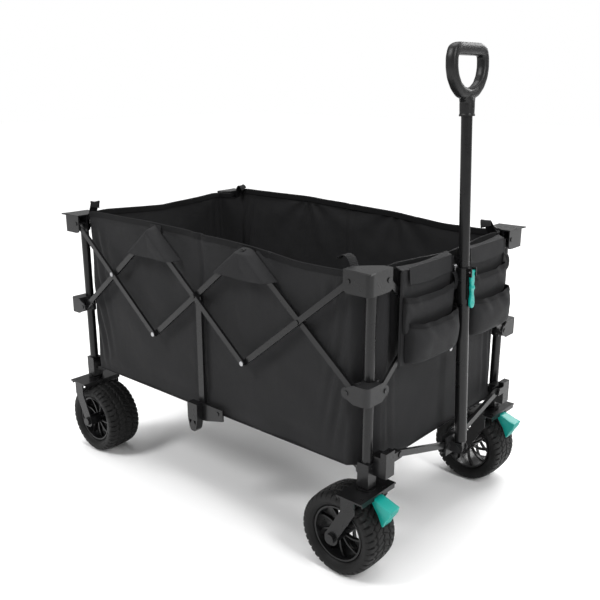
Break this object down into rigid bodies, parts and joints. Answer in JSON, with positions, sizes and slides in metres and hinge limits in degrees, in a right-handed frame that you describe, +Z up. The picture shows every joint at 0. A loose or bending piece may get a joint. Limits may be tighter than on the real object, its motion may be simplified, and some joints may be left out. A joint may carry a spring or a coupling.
{
  "type": "folding camp wagon",
  "caption": "Folding camp wagon: scissor frame, fabric basket with end pockets, wide wheels, braked front casters and a telescopic pull handle.",
  "frame": {"origin": "on the ground under the middle of the whole wagon's box", "axes": "+X towards the pull handle, +Z up, +Y to the right of someone who stands at the handle facing the wagon"},
  "size_m": [1.0831, 0.678, 1.0851],
  "materials": {
    "powder_coated_steel": "satin black powder coat",
    "joint_plastic": "fine-grained moulded nylon",
    "tyre_rubber": "matte treaded rubber",
    "rim_plastic": "satin moulded plastic",
    "teal_plastic": "satin teal moulded plastic",
    "grip_plastic": "fine-grained grip",
    "basket_fabric": "charcoal woven polyester",
    "mat_fabric": "charcoal woven polyester over board"
  },
  "bodies": {
    "centre_left": {"centre_post_left": "powder_coated_steel", "basket": "basket_fabric", "floor_mat": "mat_fabric"},
    "bar_a2_left": {"bar_a2_left": "powder_coated_steel"},
    "bar_b2_left": {"bar_b2_left": "powder_coated_steel"},
    "bar_b3_left": {"bar_b3_left": "powder_coated_steel"},
    "bar_b1_left": {"bar_b1_left": "powder_coated_steel"},
    "bar_a3_left": {"bar_a3_left": "powder_coated_steel"},
    "bar_a1_left": {"bar_a1_left": "powder_coated_steel"},
    "post_front_left": {"post_front_left": "powder_coated_steel", "pocket_left": "basket_fabric"},
    "slider_front_left": {"slider_front_left": "joint_plastic"},
    "post_rear_left": {"post_rear_left": "powder_coated_steel", "fork_rear_left": "powder_coated_steel"},
    "slider_rear_left": {"slider_rear_left": "joint_plastic"},
    "bar_c1_rear": {"bar_c1_rear": "powder_coated_steel"},
    "bar_d1_rear": {"bar_d1_rear": "powder_coated_steel"},
    "bar_d2_rear": {"bar_d2_rear": "powder_coated_steel"},
    "bar_c2_rear": {"bar_c2_rear": "powder_coated_steel"},
    "post_rear_right": {"post_rear_right": "powder_coated_steel", "fork_rear_right": "powder_coated_steel"},
    "bar_c1_front": {"bar_c1_front": "powder_coated_steel"},
    "bar_d1_front": {"bar_d1_front": "powder_coated_steel"},
    "bar_d2_front": {"bar_d2_front": "powder_coated_steel"},
    "bar_c2_front": {"bar_c2_front": "powder_coated_steel"},
    "post_front_right": {"post_front_right": "powder_coated_steel", "pocket_right": "basket_fabric"},
    "bar_a1_right": {"bar_a1_right": "powder_coated_steel"},
    "bar_b1_right": {"bar_b1_right": "powder_coated_steel"},
    "bar_b2_right": {"bar_b2_right": "powder_coated_steel"},
    "slider_rear_right": {"slider_rear_right": "joint_plastic"},
    "centre_right": {"centre_post_right": "powder_coated_steel"},
    "bar_b3_right": {"bar_b3_right": "powder_coated_steel"},
    "bar_a3_right": {"bar_a3_right": "powder_coated_steel"},
    "bar_a2_right": {"bar_a2_right": "powder_coated_steel"},
    "slider_front_right": {"slider_front_right": "joint_plastic"},
    "floor_rib_front_left": {"floor_rib_front_left": "powder_coated_steel"},
    "floor_rib_front_right": {"floor_rib_front_right": "powder_coated_steel"},
    "floor_rib_rear_left": {"floor_rib_rear_left": "powder_coated_steel"},
    "floor_rib_rear_right": {"floor_rib_rear_right": "powder_coated_steel"},
    "floor_hub": {"floor_hub": "joint_plastic"},
    "yoke_link_left": {"yoke_link_left": "powder_coated_steel"},
    "yoke_link_right": {"yoke_link_right": "powder_coated_steel"},
    "yoke_coupling": {"yoke_coupling": "joint_plastic"},
    "handle_lower": {"handle_lower_tube": "powder_coated_steel"},
    "handle_upper": {"handle_upper_tube": "powder_coated_steel", "handle_grip": "grip_plastic"},
    "handle_lever": {"handle_lever": "teal_plastic"},
    "fork_front_left": {"fork_front_left": "powder_coated_steel"},
    "brake_pedal_left": {"brake_pedal_left": "teal_plastic"},
    "wheel_front_left": {"tyre_front_left": "tyre_rubber", "rim_front_left": "rim_plastic"},
    "wheel_rear_left": {"tyre_rear_left": "tyre_rubber", "rim_rear_left": "rim_plastic"},
    "fork_front_right": {"fork_front_right": "powder_coated_steel"},
    "brake_pedal_right": {"brake_pedal_right": "teal_plastic"},
    "wheel_front_right": {"tyre_front_right": "tyre_rubber", "rim_front_right": "rim_plastic"},
    "wheel_rear_right": {"tyre_rear_right": "tyre_rubber", "rim_rear_right": "rim_plastic"}
  },
  "joints": [
    {"name": "fold", "type": "hinge", "parent": "centre_left", "child": "bar_a2_left", "pos_m": [-0.00995, -0.29229, 0.53323], "axis": [0, 1, 0], "range_deg": [0, 36.4], "deforming": ["basket", "floor_mat", "pocket_left", "pocket_right"]},
    {"name": "b2_left_turn", "type": "hinge", "parent": "centre_left", "child": "bar_b2_left", "pos_m": [-0.00995, -0.29229, 0.53323], "axis": [0, 1, 0], "range_deg": [-36.9, 0.5]},
    {"name": "b3_left_turn", "type": "hinge", "parent": "bar_a2_left", "child": "bar_b3_left", "pos_m": [0.14504, -0.29229, 0.40683], "axis": [0, 1, 0], "range_deg": [-73.3, 0.5]},
    {"name": "b1_left_turn", "type": "hinge", "parent": "bar_a2_left", "child": "bar_b1_left", "pos_m": [-0.16494, -0.29229, 0.65964], "axis": [0, 1, 0], "range_deg": [-73.3, 0.5]},
    {"name": "a3_left_turn", "type": "hinge", "parent": "bar_b2_left", "child": "bar_a3_left", "pos_m": [0.14504, -0.29229, 0.65964], "axis": [0, 1, 0], "range_deg": [-0.5, 73.3]},
    {"name": "a1_left_turn", "type": "hinge", "parent": "bar_b2_left", "child": "bar_a1_left", "pos_m": [-0.16494, -0.29229, 0.40683], "axis": [0, 1, 0], "range_deg": [-0.5, 73.3]},
    {"name": "post_front_left_turn", "type": "hinge", "parent": "bar_b3_left", "child": "post_front_left", "pos_m": [0.43952, -0.29229, 0.647], "axis": [0, 1, 0], "range_deg": [-0.5, 36.9]},
    {"name": "slider_front_left_turn", "type": "hinge", "parent": "bar_a3_left", "child": "slider_front_left", "pos_m": [0.43952, -0.29229, 0.41947], "axis": [0, 1, 0], "range_deg": [-36.9, 0.5]},
    {"name": "post_rear_left_turn", "type": "hinge", "parent": "bar_a1_left", "child": "post_rear_left", "pos_m": [-0.45942, -0.29229, 0.647], "axis": [0, 1, 0], "range_deg": [-36.9, 0.5]},
    {"name": "slider_rear_left_turn", "type": "hinge", "parent": "bar_b1_left", "child": "slider_rear_left", "pos_m": [-0.45942, -0.29229, 0.41947], "axis": [0, 1, 0], "range_deg": [-0.5, 36.9]},
    {"name": "c1_rear_turn", "type": "hinge", "parent": "post_rear_left", "child": "bar_c1_rear", "pos_m": [-0.50592, -0.25379, 0.647], "axis": [1, 0, 0], "range_deg": [-36.9, 0.5]},
    {"name": "d1_rear_turn", "type": "hinge", "parent": "bar_c1_rear", "child": "bar_d1_rear", "pos_m": [-0.50592, -0.1143, 0.53323], "axis": [1, 0, 0], "range_deg": [-0.5, 73.3]},
    {"name": "d2_rear_turn", "type": "hinge", "parent": "bar_c1_rear", "child": "bar_d2_rear", "pos_m": [-0.50592, 0, 0.44001], "axis": [1, 0, 0], "range_deg": [-0.5, 73.3]},
    {"name": "c2_rear_turn", "type": "hinge", "parent": "bar_d2_rear", "child": "bar_c2_rear", "pos_m": [-0.50592, 0.1143, 0.53323], "axis": [1, 0, 0], "range_deg": [-73.3, 0.5]},
    {"name": "post_rear_right_turn", "type": "hinge", "parent": "bar_d2_rear", "child": "post_rear_right", "pos_m": [-0.50592, 0.25379, 0.647], "axis": [1, 0, 0], "range_deg": [-36.9, 0.5]},
    {"name": "c1_front_turn", "type": "hinge", "parent": "post_front_left", "child": "bar_c1_front", "pos_m": [0.48602, -0.25379, 0.647], "axis": [1, 0, 0], "range_deg": [-36.9, 0.5]},
    {"name": "d1_front_turn", "type": "hinge", "parent": "bar_c1_front", "child": "bar_d1_front", "pos_m": [0.48602, -0.1143, 0.53323], "axis": [1, 0, 0], "range_deg": [-0.5, 73.3]},
    {"name": "d2_front_turn", "type": "hinge", "parent": "bar_c1_front", "child": "bar_d2_front", "pos_m": [0.48602, 0, 0.44001], "axis": [1, 0, 0], "range_deg": [-0.5, 73.3]},
    {"name": "c2_front_turn", "type": "hinge", "parent": "bar_d2_front", "child": "bar_c2_front", "pos_m": [0.48602, 0.1143, 0.53323], "axis": [1, 0, 0], "range_deg": [-73.3, 0.5]},
    {"name": "post_front_right_turn", "type": "hinge", "parent": "bar_d2_front", "child": "post_front_right", "pos_m": [0.48602, 0.25379, 0.647], "axis": [1, 0, 0], "range_deg": [-36.9, 0.5]},
    {"name": "a1_right_turn", "type": "hinge", "parent": "post_rear_right", "child": "bar_a1_right", "pos_m": [-0.45942, 0.29229, 0.647], "axis": [0, 1, 0], "range_deg": [-0.5, 36.9]},
    {"name": "b1_right_turn", "type": "hinge", "parent": "bar_a1_right", "child": "bar_b1_right", "pos_m": [-0.31993, 0.29229, 0.53323], "axis": [0, 1, 0], "range_deg": [-73.3, 0.5]},
    {"name": "b2_right_turn", "type": "hinge", "parent": "bar_a1_right", "child": "bar_b2_right", "pos_m": [-0.16494, 0.29229, 0.40683], "axis": [0, 1, 0], "range_deg": [-73.3, 0.5]},
    {"name": "slider_rear_right_turn", "type": "hinge", "parent": "bar_b1_right", "child": "slider_rear_right", "pos_m": [-0.45942, 0.29229, 0.41947], "axis": [0, 1, 0], "range_deg": [-0.5, 36.9]},
    {"name": "centre_right_turn", "type": "hinge", "parent": "bar_b2_right", "child": "centre_right", "pos_m": [-0.00995, 0.29229, 0.53323], "axis": [0, 1, 0], "range_deg": [-0.5, 36.9]},
    {"name": "b3_right_turn", "type": "hinge", "parent": "post_front_right", "child": "bar_b3_right", "pos_m": [0.43952, 0.29229, 0.647], "axis": [0, 1, 0], "range_deg": [-36.9, 0.5]},
    {"name": "a3_right_turn", "type": "hinge", "parent": "bar_b3_right", "child": "bar_a3_right", "pos_m": [0.30003, 0.29229, 0.53323], "axis": [0, 1, 0], "range_deg": [-0.5, 73.3]},
    {"name": "a2_right_turn", "type": "hinge", "parent": "bar_b3_right", "child": "bar_a2_right", "pos_m": [0.14504, 0.29229, 0.40683], "axis": [0, 1, 0], "range_deg": [-0.5, 73.3]},
    {"name": "slider_front_right_turn", "type": "hinge", "parent": "bar_a3_right", "child": "slider_front_right", "pos_m": [0.43952, 0.29229, 0.41947], "axis": [0, 1, 0], "range_deg": [-36.9, 0.5]},
    {"name": "rib_front_left_turn", "type": "hinge", "parent": "post_front_left", "child": "floor_rib_front_left", "pos_m": [0.43952, -0.25379, 0.229], "axis": [0.4917, 0.8708, 0], "range_deg": [-0.5, 80.84]},
    {"name": "rib_front_right_turn", "type": "hinge", "parent": "post_front_right", "child": "floor_rib_front_right", "pos_m": [0.43952, 0.25379, 0.229], "axis": [-0.4917, 0.8708, 0], "range_deg": [-0.5, 80.84]},
    {"name": "rib_rear_left_turn", "type": "hinge", "parent": "post_rear_left", "child": "floor_rib_rear_left", "pos_m": [-0.45942, -0.25379, 0.229], "axis": [0.4917, -0.8708, 0], "range_deg": [-0.5, 80.84]},
    {"name": "rib_rear_right_turn", "type": "hinge", "parent": "post_rear_right", "child": "floor_rib_rear_right", "pos_m": [-0.45942, 0.25379, 0.229], "axis": [-0.4917, -0.8708, 0], "range_deg": [-0.5, 80.84]},
    {"name": "hub_turn", "type": "hinge", "parent": "floor_rib_front_left", "child": "floor_hub", "pos_m": [0.07277, -0.04671, 0.229], "axis": [0.4917, 0.8708, 0], "range_deg": [-80.84, 0.5]},
    {"name": "yoke_left_turn", "type": "hinge", "parent": "post_front_left", "child": "yoke_link_left", "pos_m": [0.50142, -0.217, 0.272], "axis": [1, 0, 0], "range_deg": [-68.02, 0.5]},
    {"name": "yoke_right_turn", "type": "hinge", "parent": "post_front_right", "child": "yoke_link_right", "pos_m": [0.50142, 0.217, 0.272], "axis": [1, 0, 0], "range_deg": [-0.5, 68.02]},
    {"name": "coupling_turn", "type": "hinge", "parent": "yoke_link_left", "child": "yoke_coupling", "pos_m": [0.50142, -0.021, 0.2165], "axis": [1, 0, 0], "range_deg": [-0.5, 68.02]},
    {"name": "handle_pitch", "type": "hinge", "parent": "yoke_coupling", "child": "handle_lower", "pos_m": [0.52842, 0, 0.2135], "axis": [0, 1, 0], "range_deg": [0, 95]},
    {"name": "handle_slide", "type": "slide", "parent": "handle_lower", "child": "handle_upper", "axis": [-0.0454, 0, 0.999], "range_m": [-0.3, 0]},
    {"name": "lever_pull", "type": "hinge", "parent": "handle_lower", "child": "handle_lever", "pos_m": [0.53039, 0, 0.62201], "axis": [0, -1, 0], "range_deg": [0, 12], "stiffness_Nm_per_rad": 0.3},
    {"name": "caster_left_swivel", "type": "hinge", "parent": "post_front_left", "child": "fork_front_left", "pos_m": [0.46502, -0.27199, 0.201], "axis": [0, 0, 1], "continuous": true},
    {"name": "brake_left_press", "type": "hinge", "parent": "fork_front_left", "child": "brake_pedal_left", "pos_m": [0.48502, -0.27199, 0.187], "axis": [0, 1, 0], "range_deg": [0, 8]},
    {"name": "wheel_front_left_spin", "type": "hinge", "parent": "fork_front_left", "child": "wheel_front_left", "pos_m": [0.42102, -0.27199, 0.094], "axis": [0, 1, 0], "continuous": true},
    {"name": "wheel_rear_left_spin", "type": "hinge", "parent": "post_rear_left", "child": "wheel_rear_left", "pos_m": [-0.44792, -0.27199, 0.094], "axis": [0, 1, 0], "continuous": true},
    {"name": "caster_right_swivel", "type": "hinge", "parent": "post_front_right", "child": "fork_front_right", "pos_m": [0.46502, 0.27199, 0.201], "axis": [0, 0, 1], "continuous": true},
    {"name": "brake_right_press", "type": "hinge", "parent": "fork_front_right", "child": "brake_pedal_right", "pos_m": [0.48502, 0.27199, 0.187], "axis": [0, 1, 0], "range_deg": [0, 8]},
    {"name": "wheel_front_right_spin", "type": "hinge", "parent": "fork_front_right", "child": "wheel_front_right", "pos_m": [0.42102, 0.27199, 0.094], "axis": [0, 1, 0], "continuous": true},
    {"name": "wheel_rear_right_spin", "type": "hinge", "parent": "post_rear_right", "child": "wheel_rear_right", "pos_m": [-0.44792, 0.27199, 0.094], "axis": [0, 1, 0], "continuous": true}
  ],
  "couplings": [
    {"joint": "b2_left_turn", "follows": "fold", "ratio": -1},
    {"joint": "b3_left_turn", "follows": "fold", "ratio": -2},
    {"joint": "b1_left_turn", "follows": "fold", "ratio": -2},
    {"joint": "a3_left_turn", "follows": "fold", "ratio": 2},
    {"joint": "a1_left_turn", "follows": "fold", "ratio": 2},
    {"joint": "post_front_left_turn", "follows": "fold", "ratio": 1},
    {"joint": "slider_front_left_turn", "follows": "fold", "ratio": -1},
    {"joint": "post_rear_left_turn", "follows": "fold", "ratio": -1},
    {"joint": "slider_rear_left_turn", "follows": "fold", "ratio": 1},
    {"joint": "c1_rear_turn", "follows": "fold", "ratio": -1},
    {"joint": "d1_rear_turn", "follows": "fold", "ratio": 2},
    {"joint": "d2_rear_turn", "follows": "fold", "ratio": 2},
    {"joint": "c2_rear_turn", "follows": "fold", "ratio": -2},
    {"joint": "post_rear_right_turn", "follows": "fold", "ratio": -1},
    {"joint": "c1_front_turn", "follows": "fold", "ratio": -1},
    {"joint": "d1_front_turn", "follows": "fold", "ratio": 2},
    {"joint": "d2_front_turn", "follows": "fold", "ratio": 2},
    {"joint": "c2_front_turn", "follows": "fold", "ratio": -2},
    {"joint": "post_front_right_turn", "follows": "fold", "ratio": -1},
    {"joint": "a1_right_turn", "follows": "fold", "ratio": 1},
    {"joint": "b1_right_turn", "follows": "fold", "ratio": -2},
    {"joint": "b2_right_turn", "follows": "fold", "ratio": -2},
    {"joint": "slider_rear_right_turn", "follows": "fold", "ratio": 1},
    {"joint": "centre_right_turn", "follows": "fold", "ratio": 1},
    {"joint": "b3_right_turn", "follows": "fold", "ratio": -1},
    {"joint": "a3_right_turn", "follows": "fold", "ratio": 2},
    {"joint": "a2_right_turn", "follows": "fold", "ratio": 2},
    {"joint": "slider_front_right_turn", "follows": "fold", "ratio": -1},
    {"joint": "rib_front_left_turn", "follows": "fold", "ratio": 2.2072},
    {"joint": "rib_front_right_turn", "follows": "fold", "ratio": 2.2072},
    {"joint": "rib_rear_left_turn", "follows": "fold", "ratio": 2.2072},
    {"joint": "rib_rear_right_turn", "follows": "fold", "ratio": 2.2072},
    {"joint": "hub_turn", "follows": "fold", "ratio": -2.2072},
    {"joint": "yoke_left_turn", "follows": "fold", "ratio": -1.855},
    {"joint": "yoke_right_turn", "follows": "fold", "ratio": 1.855},
    {"joint": "coupling_turn", "follows": "fold", "ratio": 1.855}
  ]
}
